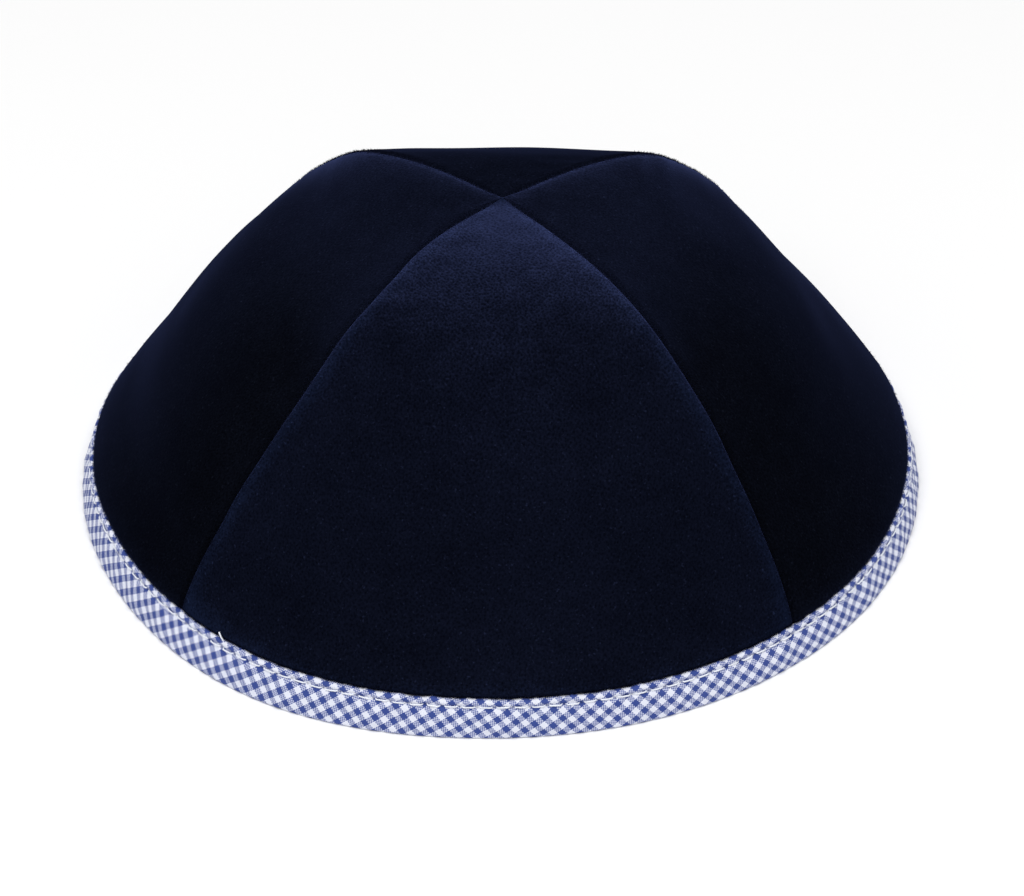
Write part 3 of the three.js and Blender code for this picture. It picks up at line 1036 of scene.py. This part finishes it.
def thread_material():
    """White polyester sewing thread of two plies, with a soft gloss. The plies are slanting ridges
    that pass once round the thread in 1.4 mm, with painted shade in the grooves between them."""
    material, tree, shader = new_material("polyester_thread_white")
    cloth = node(tree, "ShaderNodeTexCoord").outputs["UV"]
    parts = node(tree, "ShaderNodeSeparateXYZ", {"Vector": cloth})
    along = maths(tree, "MULTIPLY", parts.outputs["Y"], 1 / THREAD_TWIST)
    twist = maths(tree, "ADD", along, parts.outputs["X"])
    sine = maths(tree, "SINE", maths(tree, "MULTIPLY", twist, 2 * math.pi))
    ply = maths(tree, "ABSOLUTE", sine)
    # Painted shade in the grooves between the plies, where the colour darkens
    colour = node(tree, "ShaderNodeValToRGB", {"Fac": ply})
    set_stops(colour, (0.0, "#c0c7d6"), (0.5, "#eceff6"))
    bump = node(tree, "ShaderNodeBump", {"Strength": 0.5, "Distance": 0.05 * MM, "Height": ply})
    glossy = {"Roughness": 0.5, "Specular IOR Level": 0.5, "Sheen Weight": 0.1, "Sheen Roughness": 0.4}
    plug(tree, shader, {"Base Color": colour, "Normal": bump, **glossy})
    return material


# Setting: floor, light and camera

# How the photograph was taken, against the rim's radius and centre
VIEW_DISTANCE = 10 * RIM_RADIUS
VIEW_ELEVATION = math.radians(37.2)
VIEW_AZIMUTH = math.radians(2.4)
VIEW_ROLL = math.radians(-0.81)
PICTURE_WIDTH, PICTURE_HEIGHT = 1024, 896
RIM_RADIUS_PIXELS = 417.5
RIM_CENTRE_PIXELS = (500.4, 467.9)
SENSOR_WIDTH = 36.0


def add_camera():
    """A camera that looks at the rim's centre from the photograph's direction, then turns a little
    so that the centre falls where it does in the picture, and rolls about its own axis."""
    data = bpy.data.cameras.new("camera")
    data.sensor_width = SENSOR_WIDTH
    focal_pixels = RIM_RADIUS_PIXELS * VIEW_DISTANCE / RIM_RADIUS
    data.lens = focal_pixels / PICTURE_WIDTH * SENSOR_WIDTH
    data.clip_start = 0.01
    camera = bpy.data.objects.new("camera", data)
    level = math.cos(VIEW_ELEVATION)
    back = Vector(
        (level * math.sin(VIEW_AZIMUTH), -level * math.cos(VIEW_AZIMUTH), math.sin(VIEW_ELEVATION))
    )
    facing = back.to_track_quat("Z", "Y").to_matrix()
    right = RIM_CENTRE_PIXELS[0] - PICTURE_WIDTH / 2
    down = RIM_CENTRE_PIXELS[1] - PICTURE_HEIGHT / 2
    pan = Matrix.Rotation(math.atan2(right, focal_pixels), 3, "Y")
    tilt = Matrix.Rotation(math.atan2(down, focal_pixels), 3, "X")
    roll = Matrix.Rotation(VIEW_ROLL, 3, "Z")
    camera.matrix_world = Matrix.Translation(back * VIEW_DISTANCE) @ (facing @ pan @ tilt @ roll).to_4x4()
    bpy.context.scene.collection.objects.link(camera)
    bpy.context.scene.camera = camera


def add_floor():
    """A plain pale floor under the rim."""
    bpy.ops.mesh.primitive_plane_add(size=6.0, location=(0, 0, 0))
    floor = bpy.context.object
    floor.name = "floor"
    material, tree, shader = new_material("pale_floor")
    plug(tree, shader, {"Base Color": linear("#f2f2f2"), "Roughness": 0.9, "Specular IOR Level": 0.1})
    floor.data.materials.append(material)


def add_softbox(name, place, size, watts):
    """A square white area light aimed at the middle of the cap."""
    data = bpy.data.lights.new(name, "AREA")
    data.shape = "SQUARE"
    data.size = size
    data.energy = watts
    light = bpy.data.objects.new(name, data)
    aim = Vector(place) - Vector((0, 0, 0.03))
    light.matrix_world = Matrix.Translation(place) @ aim.to_track_quat("Z", "Y").to_matrix().to_4x4()
    bpy.context.scene.collection.objects.link(light)


def add_studio():
    """Soft, even studio light: a large box overhead, towards the front, and a bright room."""
    add_softbox("softbox_top", place=(-0.03, -0.38, 1.08), size=1.0, watts=11.0)
    world = bpy.data.worlds.new("room")
    world.use_nodes = True
    world.node_tree.nodes["Background"].inputs["Color"].default_value = linear("#ffffff")
    world.node_tree.nodes["Background"].inputs["Strength"].default_value = 0.55
    bpy.context.scene.world = world
    bpy.context.scene.view_settings.view_transform = "Standard"
    bpy.context.scene.view_settings.look = "None"


# The skullcap


def add_panels():
    """The four velvet panels, and the loose pile along their edges."""
    pile, backing_cloth = velvet_material(), backing_material()
    panels = []
    for side in PANEL_FACING:
        piece = panel_mesh(side, pile, backing_cloth)
        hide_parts(f"panel_{side}")
        panels.append(piece)
    strand_mesh(pile_ends_material())
    return panels


def add_binding():
    """The gingham tape and the stitching that holds it, outside and inside."""
    binding = binding_mesh(gingham_material())
    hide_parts("binding")
    thread = thread_material()
    stitch_row("stitches_outside", 0.22 * MM, 1, 51, thread)
    stitch_row("stitches_inside", INSIDE_FACE - 0.25 * MM, -1, 52, thread)
    tail_mesh(thread)
    return binding


def declare_cloth(panels):
    """Work out the area of velvet that each panel shows."""
    for side, panel in zip(PANEL_FACING, panels):
        cut_area(side)


add_camera()
add_floor()
add_studio()
cap_panels = add_panels()
cap_binding = add_binding()
declare_cloth(cap_panels)
